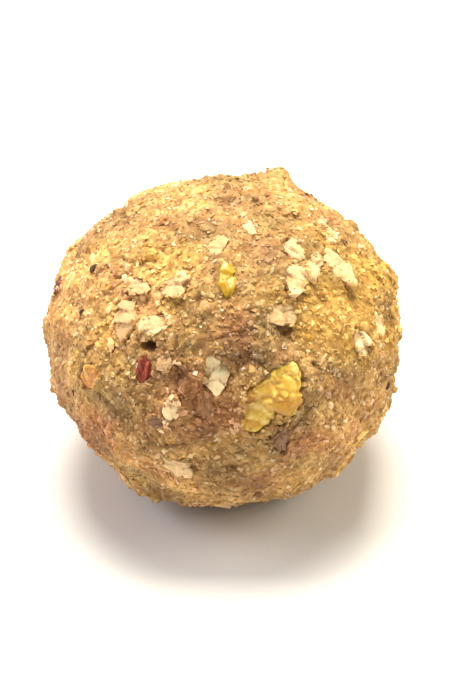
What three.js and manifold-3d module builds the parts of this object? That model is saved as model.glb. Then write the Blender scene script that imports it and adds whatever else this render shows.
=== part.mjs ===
// A gum ladoo: a ball of roasted flour, pressed by hand round chopped nuts, gum crystals and dried fruit.
// Millimetres, +Z up. It stands on a flat spot round the origin, and its front faces -Y.

import * as THREE from "three";
import { mergeVertices } from "three/addons/utils/BufferGeometryUtils.js";
import Module from "manifold-3d";

// Driving dimensions
const WIDTH = 43; // of the dough, left to right
const DEPTH = 42.4; // of the dough, front to back
const HEIGHT = 38.6; // of the dough, base to crown
const BASE_FLAT = 17; // across the flat spot that it rests on
const CORE_DETAIL = 15; // cuts along each edge of the icosahedron that the dough starts from
const FOOT_CLEAR = 0.5; // every bit stays this far above the surface that the ball rests on

// The round form before any flat was pressed, its centre and half its size along X, Y and Z
const FOOT_SHARE = Math.sqrt(1 - (BASE_FLAT / WIDTH) ** 2);
const HALF_SIZE = new THREE.Vector3(WIDTH / 2, DEPTH / 2, HEIGHT / (1 + FOOT_SHARE));
const CENTRE = new THREE.Vector3(0, 0, HALF_SIZE.z * FOOT_SHARE);

// Azimuth turns from the front towards +X and elevation rises from level, both in degrees.
// Flats that palms and fingers pressed: where each faces, and how far it lies inside the round form.
const FLAT_BLEND = 0.9;
const FLATS = [
  { azimuth: 2, elevation: 18, inset: 1.0 },
  { azimuth: 10, elevation: -50, inset: 0.55 },
  { azimuth: 58, elevation: -31, inset: 0.55 },
  { azimuth: 45, elevation: 42, inset: 0.7 },
  { azimuth: 86, elevation: -4, inset: 0.25 },
  { azimuth: 122, elevation: 31, inset: 0.55 },
  { azimuth: 138, elevation: 39, inset: 0.75 },
  { azimuth: 130, elevation: -25, inset: 0.7 },
  { azimuth: 170, elevation: -5, inset: 0.9 },
  { azimuth: 178, elevation: 49, inset: 0.75 },
  { azimuth: -160, elevation: 46, inset: 1.05 },
  { azimuth: -140, elevation: -20, inset: 0.8 },
  { azimuth: -133, elevation: 36, inset: 0.15 },
  { azimuth: -62, elevation: -28, inset: 0.5 },
  { azimuth: -40, elevation: 50, inset: 0.8 },
];

// Lumps and dents in the dough: where each lies, how far it rises, and the angle that it spreads over.
const LUMPS = [
  { azimuth: 153, elevation: 45, rise: 1.5, spread: 6 },
  { azimuth: -110, elevation: 21, rise: 0.6, spread: 14 },
  { azimuth: -76, elevation: -16, rise: 0.7, spread: 9 },
  { azimuth: -43, elevation: -40, rise: 0.3, spread: 10 },
  { azimuth: 65, elevation: -25, rise: 0.5, spread: 5 },
  { azimuth: 25, elevation: 42, rise: -0.8, spread: 9 },
];

// Waves of kneading and crumbs over the whole surface: how long each wave is, and how far it rises.
const RELIEF = [
  { wave: 9, rise: 0.35 },
  { wave: 3.2, rise: 0.7 },
];

// What the dough holds. Sizes are shares of a bit's length, and proud is how far it stands out.
// sides is the solid that a bit is chipped from, and ragged the share by which its corners move.
const KINDS = {
  nut: { sides: "box", width: 0.66, thick: 0.6, proud: 0.28, ragged: 0.24, least: 2.1, most: 4.8 },
  gum: { sides: "ball", width: 0.8, thick: 0.72, proud: 0.5, ragged: 0.16, least: 2.5, most: 5.4 },
  sliver: { sides: "ball", width: 0.44, thick: 0.5, proud: 0.35, ragged: 0.16, least: 2.4, most: 4.2 },
  pistachio: { sides: "box", width: 0.42, thick: 0.4, proud: 0.35, ragged: 0.16, least: 2.8, most: 4.4 },
  fruit: { sides: "stone", width: 0.62, thick: 0.5, proud: 0.3, ragged: 0.14, least: 2.4, most: 4.2 },
  crumb: { sides: "stone", width: 0.8, thick: 0.7, proud: 0.5, ragged: 0.2, least: 1.4, most: 2.5 },
};

// Bits on the front and crown: where each lies, its length, and its turn from level, anticlockwise.
const SHOWN_BITS = [
  { kind: "gum", azimuth: 21.5, elevation: 24.5, length: 5.6, turn: 20 },
  { kind: "gum", azimuth: 12.5, elevation: 15.5, length: 4.8, turn: 60 },
  { kind: "gum", azimuth: -53.5, elevation: 13.5, length: 3.6, turn: 75 },
  { kind: "gum", azimuth: 53, elevation: -14, length: 3.4, turn: 50 },
  { kind: "sliver", azimuth: 1, elevation: 64, length: 5.2, turn: 88 },
  { kind: "nut", azimuth: -12, elevation: 75.5, length: 3.2, turn: 80 },
  { kind: "nut", azimuth: 76, elevation: 47, length: 5, turn: 60 },
  { kind: "nut", azimuth: 63.5, elevation: 54.5, length: 3.6, turn: 20 },
  { kind: "nut", azimuth: 46, elevation: 55.5, length: 4.2, turn: 45 },
  { kind: "nut", azimuth: 62, elevation: 63, length: 3.4, turn: 70 },
  { kind: "nut", azimuth: 99, elevation: 50.5, length: 3, turn: 10 },
  { kind: "nut", azimuth: 57, elevation: 80, length: 2.4, turn: 60 },
  { kind: "nut", azimuth: 29.5, elevation: 47, length: 4, turn: -10 },
  { kind: "nut", azimuth: -50, elevation: 38, length: 4.6, turn: 100 },
  { kind: "nut", azimuth: -34, elevation: 42, length: 3.4, turn: 50 },
  { kind: "nut", azimuth: -33, elevation: 56.5, length: 3.6, turn: 30 },
  { kind: "nut", azimuth: -53, elevation: 50, length: 2.8, turn: 25 },
  { kind: "nut", azimuth: -4, elevation: 29, length: 4.6, turn: 95 },
  { kind: "nut", azimuth: -25, elevation: 30.5, length: 2.4, turn: 60 },
  { kind: "nut", azimuth: -19, elevation: 16, length: 3, turn: 70 },
  { kind: "nut", azimuth: -16, elevation: -7, length: 3.8, turn: -15 },
  { kind: "nut", azimuth: 57.5, elevation: 24, length: 3.6, turn: 80 },
  { kind: "nut", azimuth: 70.5, elevation: 23, length: 3.2, turn: 85 },
  { kind: "fruit", azimuth: -32.5, elevation: 26, length: 3.6, turn: 100 },
  { kind: "fruit", azimuth: -8.5, elevation: 17, length: 3.8, turn: 95 },
  { kind: "fruit", azimuth: 18, elevation: 5.5, length: 3.6, turn: 80 },
  { kind: "fruit", azimuth: -23.5, elevation: 10, length: 2.4, turn: 20 },
];

// The same mix is spread over the rest of the ball, one bit to each place of an even spiral.
const SPREAD_PLACES = 150;
const SPREAD_JITTER = 0.09; // as a share of the ball's half size
const SPREAD_GAP = 0.6; // bare dough between one bit and the next
const SHOWN_SIDE = facing({ azimuth: 0, elevation: 42 });
const SHOWN_EDGE = 0.15; // places further round than this cosine aren't on the shown side
const MIX = [
  { kind: "nut", share: 0.44 },
  { kind: "gum", share: 0.2 },
  { kind: "pistachio", share: 0.08 },
  { kind: "fruit", share: 0.12 },
  { kind: "crumb", share: 0.16 },
];

// Repeatable draws: what each is for, and the factors that scatter them
const DRAW = { x: 1, y: 2, z: 3, kind: 4, length: 5, turn: 6 };
const SCATTER = { item: 12.9898, trait: 78.233, rise: 43758.5453 };
const GRID_ROW = 31; // grid corners that one row of noise is drawn for
const CORNER_KEY = new THREE.Vector3(100, 300, 700); // tells the corners of one bit apart

const DOUGH_COLOUR = 0xc89c5e;
const RIGHT = new THREE.Vector3(1, 0, 0);
const UP = new THREE.Vector3(0, 0, 1);

const wasm = await Module();
wasm.setup();

// A repeatable draw from 0 to 1, for one trait of one item.
function chance(item, trait) {
  const drawn = Math.sin(item * SCATTER.item + trait * SCATTER.trait) * SCATTER.rise;
  return drawn - Math.floor(drawn);
}

// Three repeatable draws from -1 to 1, along X, Y and Z.
function shake(item) {
  const draws = [DRAW.x, DRAW.y, DRAW.z].map((axis) => 2 * chance(item, axis) - 1);
  return new THREE.Vector3(...draws);
}

// The way out of the ball at a place.
function facing({ azimuth, elevation }) {
  const turn = THREE.MathUtils.degToRad(azimuth);
  const lift = THREE.MathUtils.degToRad(elevation);
  const level = Math.cos(lift);
  return new THREE.Vector3(Math.sin(turn) * level, -Math.cos(turn) * level, Math.sin(lift));
}

// The round form's radius that way.
function roundRadius(way) {
  return 1 / way.clone().divide(HALF_SIZE).length();
}

// The smaller of two lengths, with the corner between them rounded off.
function smoothMin(a, b, blend) {
  const share = THREE.MathUtils.clamp(0.5 + (0.5 * (b - a)) / blend, 0, 1);
  return THREE.MathUtils.lerp(b, a, share) - blend * share * (1 - share);
}

// The pressed form's radius that way, with its flats and lumps.
function formRadius(way) {
  const steepest = 0.2; // a flat is never met at a slant past this cosine
  let radius = roundRadius(way);
  for (const flat of FLATS) {
    const out = facing(flat);
    const reach = (roundRadius(out) - flat.inset) / Math.max(way.dot(out), steepest);
    radius = smoothMin(radius, reach, FLAT_BLEND);
  }
  for (const lump of LUMPS) {
    const away = THREE.MathUtils.radToDeg(way.angleTo(facing(lump)));
    radius += lump.rise * Math.exp(-((away / lump.spread) ** 2));
  }
  return radius;
}

// Smooth noise from -1 to 1, drawn once for each corner of a unit grid.
function noise(point) {
  const corner = point.clone().floor();
  const ease = (t) => t * t * (3 - 2 * t);
  const along = point.clone().sub(corner).toArray().map(ease);
  let sum = 0;
  for (let n = 0; n < 8; n++) {
    const step = [n & 1, (n >> 1) & 1, n >> 2];
    const weight = step.reduce((w, s, axis) => w * (s ? along[axis] : 1 - along[axis]), 1);
    const [i, j, k] = corner.toArray().map((c, axis) => c + step[axis]);
    sum += weight * chance(i + GRID_ROW * j, k);
  }
  return 2 * sum - 1;
}

// The dough's radius that way, with its crumbs in relief.
function doughRadius(way) {
  const radius = formRadius(way);
  const waves = RELIEF.map(({ wave, rise }) => rise * noise(way.clone().multiplyScalar(radius / wave)));
  return waves.reduce((sum, wave) => sum + wave, radius);
}

// A geometry whose triangles share their corners, so that it is closed.
function closed(geometry) {
  geometry.deleteAttribute("normal");
  geometry.deleteAttribute("uv");
  return mergeVertices(geometry);
}

// A closed geometry as a solid for joining.
function solidOf(geometry) {
  const vertProperties = geometry.getAttribute("position").array;
  const triVerts = new Uint32Array(geometry.index.array);
  return new wasm.Manifold(new wasm.Mesh({ numProp: 3, vertProperties, triVerts }));
}

// Moves each vertex of a geometry by a rule that depends on its place alone.
function reshape(geometry, rule) {
  const places = geometry.getAttribute("position");
  const point = new THREE.Vector3();
  for (let i = 0; i < places.count; i++) {
    rule(point.fromBufferAttribute(places, i));
    places.setXYZ(i, point.x, point.y, point.z);
  }
  return geometry;
}

// The pressed ball of dough, with its foot flat.
function makeDough() {
  const ball = new THREE.IcosahedronGeometry(1, CORE_DETAIL);
  return reshape(closed(ball), (point) => {
    const way = point.clone().normalize();
    point.copy(way).multiplyScalar(doughRadius(way)).add(CENTRE);
    point.z = Math.max(point.z, 0);
  });
}

// The solid, one unit across, that a bit is chipped from.
function blank(sides) {
  if (sides === "box") return new THREE.BoxGeometry(1, 1, 1);
  if (sides === "ball") return new THREE.IcosahedronGeometry(0.5, 1);
  return new THREE.IcosahedronGeometry(0.5, 0);
}

// One bit, chipped to its size and laid in the surface of the dough.
function makeBit(bit, number) {
  const { sides, width, thick, proud, ragged } = KINDS[bit.kind];
  const size = new THREE.Vector3(bit.length, bit.length * width, bit.length * thick);
  const way = facing(bit);
  const depth = doughRadius(way) + proud - size.z / 2;
  const spin = new THREE.Quaternion().setFromAxisAngle(UP, THREE.MathUtils.degToRad(bit.turn));
  const level = new THREE.Quaternion().setFromAxisAngle(UP, THREE.MathUtils.degToRad(bit.azimuth));
  const ahead = facing({ azimuth: bit.azimuth, elevation: 0 });
  const tip = new THREE.Quaternion().setFromUnitVectors(ahead, way);
  const stand = new THREE.Quaternion().setFromAxisAngle(RIGHT, Math.PI / 2);
  const pose = tip.multiply(level).multiply(stand).multiply(spin);
  return reshape(closed(blank(sides)), (point) => {
    const corner = Math.round(point.dot(CORNER_KEY));
    const chip = shake(number + corner).multiplyScalar(ragged).addScalar(1);
    point.multiply(size).multiply(chip);
    point.applyQuaternion(pose).addScaledVector(way, depth).add(CENTRE);
  });
}

// The kind that a draw from 0 to 1 picks from the mix.
function pickKind(drawn) {
  let upTo = 0;
  for (const { kind, share } of MIX) {
    upTo += share;
    if (drawn < upTo) return kind;
  }
  return MIX.at(-1).kind;
}

// Bits for the rest of the ball. Between the shown bits there are only crumbs of the dough itself.
function spreadBits() {
  const goldenAngle = Math.PI * (3 - Math.sqrt(5));
  const laid = [...SHOWN_BITS];
  for (let n = 0; n < SPREAD_PLACES; n++) {
    const height = 1 - (2 * n + 1) / SPREAD_PLACES;
    const level = Math.sqrt(1 - height * height);
    const round = n * goldenAngle;
    const way = new THREE.Vector3(level * Math.cos(round), level * Math.sin(round), height);
    way.addScaledVector(shake(n), SPREAD_JITTER).normalize();
    const shown = way.dot(SHOWN_SIDE) > SHOWN_EDGE;
    const kind = shown ? "crumb" : pickKind(chance(n, DRAW.kind));
    const { least, most } = KINDS[kind];
    const bit = {
      kind,
      azimuth: THREE.MathUtils.radToDeg(Math.atan2(way.x, -way.y)),
      elevation: THREE.MathUtils.radToDeg(Math.asin(way.z)),
      length: THREE.MathUtils.lerp(least, most, chance(n, DRAW.length) ** 2),
      turn: 360 * chance(n, DRAW.turn),
    };
    const room = (other) => (bit.length + other.length) / 2 + SPREAD_GAP;
    const apart = (other) => roundRadius(way) * way.angleTo(facing(other));
    if (laid.every((other) => apart(other) > room(other))) laid.push(bit);
  }
  return laid;
}

// The dough and every bit in it, joined into one solid.
function makeLadoo() {
  const bits = spreadBits().map(makeBit);
  const clear = bits.filter((bit) => {
    bit.computeBoundingBox();
    return bit.boundingBox.min.z > FOOT_CLEAR;
  });
  const whole = clear.reduce((solid, bit) => solid.add(solidOf(bit)), solidOf(makeDough()));
  const { vertProperties, triVerts } = whole.getMesh();
  const geometry = new THREE.BufferGeometry();
  geometry.setAttribute("position", new THREE.BufferAttribute(vertProperties, 3));
  geometry.setIndex(new THREE.BufferAttribute(triVerts, 1));
  geometry.computeVertexNormals();
  const crumbly = new THREE.MeshStandardMaterial({ color: DOUGH_COLOUR, roughness: 0.85, metalness: 0 });
  const ladoo = new THREE.Mesh(geometry, crumbly);
  ladoo.name = "ladoo";
  return ladoo;
}

const part = new THREE.Group();
part.add(makeLadoo());

export default part;
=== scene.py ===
"""A hand-pressed gum ladoo: roasted flour dough with gum, chopped nuts, dried fruit and loose grains.

Each operator makes one piece, or one group of like pieces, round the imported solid. Shapes are worked out
in millimetres from the middle of the ball, and go into the scene in metres.
"""

import math
from typing import NamedTuple

import bmesh
import bpy
import numpy as np
from mathutils import Color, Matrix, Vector
from mathutils.bvhtree import BVHTree
from mathutils.kdtree import KDTree


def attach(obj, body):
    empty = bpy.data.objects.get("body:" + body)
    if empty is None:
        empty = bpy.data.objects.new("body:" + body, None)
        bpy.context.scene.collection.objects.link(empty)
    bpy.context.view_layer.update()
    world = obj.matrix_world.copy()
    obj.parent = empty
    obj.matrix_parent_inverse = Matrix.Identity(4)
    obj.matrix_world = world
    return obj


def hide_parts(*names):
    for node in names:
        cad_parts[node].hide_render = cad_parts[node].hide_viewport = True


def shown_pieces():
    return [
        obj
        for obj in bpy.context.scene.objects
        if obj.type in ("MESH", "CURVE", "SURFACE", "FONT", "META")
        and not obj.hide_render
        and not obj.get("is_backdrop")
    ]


bl_info = {
    "name": "Gum ladoo",
    "version": (1, 0, 0),
    "blender": (4, 5, 0),
    "location": "3D View > Sidebar > Ladoo",
    "description": "Builds a hand-pressed gum ladoo with its gum, nuts, fruit and grains",
    "category": "Mesh",
}

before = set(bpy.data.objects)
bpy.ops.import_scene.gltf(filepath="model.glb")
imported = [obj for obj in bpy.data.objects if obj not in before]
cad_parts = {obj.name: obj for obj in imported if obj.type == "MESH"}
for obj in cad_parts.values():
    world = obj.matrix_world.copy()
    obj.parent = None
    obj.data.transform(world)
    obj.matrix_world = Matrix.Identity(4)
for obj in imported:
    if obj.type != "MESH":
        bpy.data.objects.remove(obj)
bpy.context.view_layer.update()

BODY = "root"
NODE = "ladoo"
DOUGH = "ladoo_dough"
GUM = "gum_crystals"
SEEDS = "dark_seeds"
MM = 0.001
BAKE_MAP = "OFBake"  # the UV map that every piece is given, for baking its looks
SEED = 7

# The pressed form, as the solid has it. Azimuth turns from the front to +X, elevation rises from level.
FLAT_BLEND = 0.9
STEEPEST = 0.2
FLATS = [  # azimuth, elevation, how far the flat lies inside the round form
    (2, 18, 1.0),
    (10, -50, 0.55),
    (58, -31, 0.55),
    (45, 42, 0.7),
    (86, -4, 0.25),
    (122, 31, 0.55),
    (138, 39, 0.75),
    (130, -25, 0.7),
    (170, -5, 0.9),
    (178, 49, 0.75),
    (-160, 46, 1.05),
    (-140, -20, 0.8),
    (-133, 36, 0.15),
    (-62, -28, 0.5),
    (-40, 50, 0.8),
]
LUMPS = [  # azimuth, elevation, rise, the angle that it spreads over
    (153, 45, 1.5, 6),
    (-110, 21, 0.6, 14),
    (-76, -16, 0.7, 9),
    (-43, -40, 0.3, 10),
    (65, -25, 0.5, 5),
    (25, 42, -0.8, 9),
]
RELIEF = [(9, 0.35), (3.2, 0.7)]  # wave, rise

# What the dough holds: width and thickness as shares of the length, how far it stands out, the share by
# which its corners move, and the least and most length.
KINDS = {
    "nut": {"width": 0.66, "thick": 0.6, "proud": 0.28, "ragged": 0.24, "least": 2.1, "most": 4.8},
    "gum": {"width": 0.8, "thick": 0.72, "proud": 0.5, "ragged": 0.16, "least": 2.5, "most": 5.4},
    "sliver": {"width": 0.44, "thick": 0.5, "proud": 0.35, "ragged": 0.16, "least": 2.4, "most": 4.2},
    "pistachio": {"width": 0.42, "thick": 0.4, "proud": 0.35, "ragged": 0.16, "least": 2.8, "most": 4.4},
    "fruit": {"width": 0.62, "thick": 0.5, "proud": 0.3, "ragged": 0.14, "least": 2.4, "most": 4.2},
    "crumb": {"width": 0.8, "thick": 0.7, "proud": 0.5, "ragged": 0.2, "least": 1.4, "most": 2.5},
}

# Bits on the front and crown: kind, azimuth, elevation, length, turn from level, tone from dark to pale
SHOWN_BITS = [
    ("gum", 21.5, 24.5, 5.6, 20, 0.8),
    ("gum", 12.5, 15.5, 4.8, 60, 1.15),
    ("gum", -53.5, 13.5, 3.6, 75, 0.05),
    ("gum", 53, -14, 3.4, 50, 0.8),
    ("sliver", 1, 64, 5.2, 88, 0.85),
    ("nut", -12, 75.5, 3.2, 80, -0.1),
    ("nut", 76, 47, 5, 60, 0.45),
    ("nut", 63.5, 54.5, 3.6, 20, 0.45),
    ("nut", 46, 55.5, 4.2, 45, 0.6),
    ("nut", 62, 63, 3.4, 70, 0.5),
    ("nut", 99, 50.5, 3, 10, 0.65),
    ("nut", 57, 80, 2.4, 60, 0.55),
    ("nut", 29.5, 47, 4, -10, 0.55),
    ("nut", -50, 38, 4.6, 100, 0.0),
    ("nut", -34, 42, 3.4, 50, 0.65),
    ("nut", -33, 56.5, 3.6, 30, 0.25),
    ("nut", -53, 50, 2.8, 25, 0.25),
    ("nut", -4, 29, 4.6, 95, 1.2),
    ("nut", -25, 30.5, 2.4, 60, 0.1),
    ("nut", -19, 16, 3, 70, 1.1),
    ("nut", -16, -7, 3.8, -15, 0.6),
    ("nut", 57.5, 24, 3.6, 80, 1.1),
    ("nut", 70.5, 23, 3.2, 85, 0.6),
    ("fruit", -32.5, 26, 3.6, 100, 1.0),
    ("fruit", -8.5, 17, 3.8, 95, 0.5),
    ("fruit", 18, 5.5, 3.6, 80, 0.0),
    ("fruit", -23.5, 10, 2.4, 20, 0.0),
]

# Smaller lobes that join the two large gum lobes in front: azimuth, elevation, length, turn, tone
GUM_LOBES = [
    (16.5, 20, 4.8, 48, 0.6),
    (11, 20.5, 3.4, 70, 0.35),
    (22, 17, 3.2, 40, 0.5),
    (25.5, 27.5, 2.6, 75, 0.95),
    (14, 24.5, 2.6, 20, 0.8),
    (9.5, 11.5, 2.8, 10, 0.7),
]

# The same mix over the rest of the ball, one bit to each place of an even spiral
SPREAD_PLACES = 150
SPREAD_JITTER = 0.09
SPREAD_GAP = 0.6
SHOWN_SIDE = (0, 42)
SHOWN_EDGE = 0.15
GREEN_EDGE = -0.15  # pistachio lies further round than this, and plain nut in its place up to there
FOOT_CLEAR = 0.5
MIX = [("nut", 0.44), ("gum", 0.2), ("pistachio", 0.08), ("fruit", 0.12), ("crumb", 0.16)]

# How each kind sits in the dough: the share that shows, its rim's unevenness, how far dough rises there
WINDOW = {"nut": 1.06, "gum": 0.98, "sliver": 0.74, "pistachio": 1.0, "fruit": 0.98}
RAGGED = {"nut": 0.26, "gum": 0.24, "sliver": 0.14, "pistachio": 0.2, "fruit": 0.24}
RIM = {"nut": 0.4, "gum": 0.9, "sliver": 0.35, "pistachio": 0.6, "fruit": 0.3}
FAR_OFF = 3.0  # a point this far from every bit, in half sizes, lies near none

WIDER = 1.18  # bits reach a little under the dough round their windows
SLIVER_SPREAD = (1.12, 0.86)  # the same along and across a sliver
LEMON_SHARE = 0.92  # how far slivers have the lemon colour
CHIP_LEAN = 0.16  # how far chips tip to look up, as a slope
CHIP_FOLLOW = {"nut": 0.35, "sliver": 0.8, "pistachio": 0.8}  # how far chips follow the dough's rise
CHIP_SEEN = 1.0  # how far under the surface chips are finely cut
CHIP_COARSE = 3.0  # how much coarser they are cut below that
HIDDEN_TONE = 0.75  # the tone of chips over the rest of the ball, where the light is stronger
SKINNED = (0.4, 0.0)  # the share of chips with some skin left, over the rest of the ball and in front
SKIN_EDGE, SKIN_FADE = 0.55, 0.3  # where a chip's skin begins, as a cosine, and how softly
COVERED, LOWEST = 0.25, 1.5  # how far under the surface dough covers a bit, and the most that counts as low
RED_TONE = 0.6  # fruit of a higher tone is red
FRUIT_CUTS = 5
DOUGH_CUTS = 126  # cuts along each side of the cube that the dough starts from
FOOT_RISE = 0.16  # how far gaps in the dough lie above the surface that the ball rests on

# Repeatable draws, as the solid has them
DRAW_AXES = (1, 2, 3)
DRAW_KIND, DRAW_LENGTH, DRAW_TURN, DRAW_TONE = 4, 5, 6, 7
SCATTER_ITEM, SCATTER_TRAIT, SCATTER_RISE = 12.9898, 78.233, 43758.5453
GRID_ROW = 31
CORNER_KEY = np.array([100, 300, 700])
OCTAVE_SHIFT = 17  # keeps the octaves of one noise apart
CHIP_SHIFT, FRUIT_SHIFT = 13.0, 5.0  # keep the noise of one bit apart from the next

# The way that lumps of the gum run, as three axes
GUM_GRAIN = np.array([[0.66, 0.62, 0.42], [-0.74, 0.44, 0.51], [0.13, -0.65, 0.75]])

# Patches of the dough that show: azimuth, elevation, the angle they spread over, how rosy they are, golden
# below 0, and how bright, dull below 0. One dull patch, in a dent, is painted shade.
PLAIN = 0.5
PATCHES = [
    (7, 42, 9, 0.7, -0.5),
    # painted shade: this dull patch darkens the dough round the dent at azimuth 25, elevation 42
    (20, 40, 10, 0.2, -1.6),
    (-9, 17, 12, 0.8, 0),
    (5, 25, 7, 0, 0.9),
    (18, 4, 10, 0.7, -0.5),
    (-31, 1, 14, 0.35, 0.5),
    (-73, -2, 14, 0.8, 0),
    (0, -12, 22, 0.5, 0),
    (-30, 24, 10, 0.4, 0),
    (62, 6, 12, 0.3, 0),
    (75, 40, 26, -0.75, -0.3),
    (67, 66, 14, 0, -0.4),
    (40, 48, 12, -0.5, -0.4),
    (-62, 24, 11, -0.5, 0),
    (10, 78, 16, -0.3, -0.4),
    (80, 10, 14, -0.6, 0),
    (45, -20, 10, -0.4, 0),
    (-21, 40, 10, 0, -1.3),
    (-20, 25, 7, 0, -0.6),
    (31, 20, 9, 0, -1.1),
    (-54, -12, 12, 0.35, -0.7),
    (-67, 19, 11, 0.5, -0.9),
    (-51, 30, 11, 0, 1.1),
    (-38, 54, 10, 0, 1.1),
    (40, 35, 12, -0.3, 1.5),
    (52, 43, 11, -0.6, 0.2),
    (38, -4, 12, 0, 1.0),
    (28, 3, 9, 0, 1.0),
    (-43, -7, 10, 0.2, -0.4),
    (52, 28, 8, -0.2, 0.6),
    (-82, 50, 18, 0.1, 0.5),
    (-18, 4, 9, 0.2, 0.7),
    (-64, 42, 9, -0.1, 0.6),
]

# Dark seeds that show: azimuth, elevation, length
SHOWN_SEEDS = [(-81.3, 40.2, 1.5), (-72, 27.3, 1.0), (65, 1.6, 1.1)]

# Pits in the surface that show: azimuth, elevation, radius, depth
SHOWN_PITS = [(-35.3, 34.4, 0.75, 1.3), (-32.3, 34.8, 0.75, 1.2), (28.4, 41, 1.3, 0.5), (24, 36, 0.9, 0.4)]

# Smaller pits over the whole ball, where a grain fell out: how many, and their radii and depths
PITS = 90
PIT_JITTER = 0.6
PIT_RADII = (0.3, 0.85)
PIT_DEPTHS = (0.1, 0.42)

# Loose grains
GRAIN_JITTER = 0.5
GRAIN_TINTS = (0.5, 0.17)  # the mean of their tints, and how far they vary
GRAIN_DUST = 0.6  # the most that dough clings to them
PIT_CLEAR = 0.4  # how deep a spot is that holds no grains
FLUSH = 0.65  # how far grains lie level with the ball, 1, and not with the granule under them, 0
GLINT = {"Coat_Weight": 0.5, "Coat_Roughness": 0.22}  # the sheen of sugar
DRY_BITS = ("nut", "pistachio", "fruit")
ALL_BITS = (*DRY_BITS, "gum", "sliver")

# The stage: lamps by azimuth, elevation, power and colour, in metres and watts
LAMP_DISTANCE = 0.8
LAMP_SIZE = 0.5
LAMPS = {
    "key": (-177, 69, 14.3, (1.0, 0.95, 0.83)),
    "left": (-95, 30, 3.9, (0.95, 0.92, 1.0)),
    "right": (95, 30, 3.7, (1.0, 0.95, 0.8)),
}
AIR_COLOUR = (1.0, 0.985, 0.96, 1.0)
AIR_STRENGTH = 0.27
FLOOR_HALF = 1.5
FLOOR_CUTS = 24
CAMERA_DISTANCE = 0.97
IMAGE_HEIGHT = 678
BALL_PIXELS = 350
WHITE = (1, 1, 1, 1)


def length_property(name, description, default):
    """A length, with its default in millimetres."""
    return bpy.props.FloatProperty(name=name, description=description, default=default * MM, unit="LENGTH")


def count_property(name, description, default):
    return bpy.props.IntProperty(name=name, description=description, default=default, min=0)


def colour_property(name, description, default):
    return bpy.props.FloatVectorProperty(
        name=name, description=description, default=default, subtype="COLOR", size=3, min=0, max=1
    )


class LadooSizes(bpy.types.PropertyGroup):
    """Sizes of the ladoo and of the grains in it"""

    width: length_property("Width", "Width of the dough, left to right", 43)
    depth: length_property("Depth", "Depth of the dough, front to back", 42.4)
    height: length_property("Height", "Height of the dough, base to crown", 38.6)
    base_flat: length_property("Base flat", "Width of the flat spot it rests on", 17)
    granule: length_property("Granule", "Spacing of the pressed granules", 0.72)
    clump: length_property("Clump", "Spacing of the clumps that granules make", 2.9)
    sand_grains: count_property("Sand grains", "Fine grains of roasted flour", 9400)
    sugar_grains: count_property("Sugar grains", "Fine pale grains of semolina and sugar", 3200)
    crumbs: count_property("Crumbs", "Crumbs of dough pressed back on", 1900)
    nut_shards: count_property("Nut shards", "Small shards of crushed nut", 700)
    gum_crumbs: count_property("Gum crumbs", "Small crumbs of crushed gum", 300)
    bran_flakes: count_property("Bran flakes", "Brown flakes of bran", 380)
    dark_seeds: count_property("Dark seeds", "Dark seeds besides those that show in front", 22)


class LadooColours(bpy.types.PropertyGroup):
    """Colours of the ladoo's pieces"""

    # Painted shade: the darkest dough colour, painted into the seams, clefts and pits and round the rims of
    # bits; it also darkens some granules at random.
    dough_dark_and_gap_shade: colour_property("Dough gap", "Dough in the gaps between granules", (0.2, 0.095, 0.031))
    dough: colour_property("Dough", "Roasted flour dough", (0.5, 0.278, 0.082))
    dough_light: colour_property("Dough light", "Pale granules of the dough", (0.73, 0.47, 0.172))
    grain_dark: colour_property("Grain dark", "Darkest loose grains", (0.4, 0.205, 0.06))
    grain_light: colour_property("Grain light", "Lightest loose grains", (0.74, 0.485, 0.18))
    pale_dark: colour_property("Pale dark", "Darkest semolina grains", (0.6, 0.38, 0.13))
    pale_light: colour_property("Pale light", "Lightest semolina and sugar grains", (0.9, 0.72, 0.41))
    bran: colour_property("Bran", "Flakes of bran", (0.24, 0.105, 0.035))
    nut_dark: colour_property("Nut dark", "Toasted nut flesh", (0.65, 0.385, 0.165))
    nut_light: colour_property("Nut light", "Pale nut flesh", (0.93, 0.655, 0.345))
    nut_pale: colour_property("Nut pale", "Cream nut flesh", (0.98, 0.81, 0.49))
    nut_skin: colour_property("Nut skin", "Brown skin on a nut's outer side", (0.3, 0.13, 0.05))
    gum_dark: colour_property("Gum dark", "Amber gum", (0.52, 0.2, 0.03))
    gum_light: colour_property("Gum light", "Yellow gum", (0.79, 0.53, 0.09))
    gum_pale: colour_property("Gum pale", "Pale gum where it puffed most", (0.89, 0.69, 0.3))
    gum_lemon: colour_property("Gum lemon", "Clear lemon gum of the sliver", (0.47, 0.29, 0.014))
    pistachio: colour_property("Pistachio", "Green pistachio flesh", (0.36, 0.38, 0.065))
    pistachio_skin: colour_property("Pistachio skin", "Purple pistachio skin", (0.2, 0.075, 0.06))
    red_fruit: colour_property("Red fruit", "Deep red dried fruit", (0.28, 0.04, 0.016))
    raisin: colour_property("Raisin", "Brown raisin and date", (0.36, 0.16, 0.05))
    seed: colour_property("Seed", "Dark seeds", (0.06, 0.03, 0.014))
    floor: colour_property("Floor", "Plain pale floor", (0.8, 0.795, 0.785))


def facing(azimuth, elevation):
    """The way out of the ball at each place, in degrees."""
    turn = np.radians(azimuth)
    lift = np.radians(elevation)
    return np.stack([np.sin(turn) * np.cos(lift), -np.cos(turn) * np.cos(lift), np.sin(lift)], axis=-1)


def degrees_from(ways, azimuth, elevation):
    """The angle between each way out of the ball and the way to a place."""
    return np.degrees(np.arccos(np.clip(ways @ facing(azimuth, elevation), -1, 1)))


def unit(vectors):
    """The same directions, each of length 1."""
    return vectors / np.linalg.norm(vectors, axis=1, keepdims=True)


def chance(item, trait):
    """A repeatable draw from 0 to 1, for one trait of one item."""
    drawn = np.sin(item * SCATTER_ITEM + trait * SCATTER_TRAIT) * SCATTER_RISE
    return drawn - np.floor(drawn)


def shake(item):
    """Three repeatable draws from -1 to 1, along X, Y and Z."""
    return np.stack([2 * chance(item, axis) - 1 for axis in DRAW_AXES], axis=-1)


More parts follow.
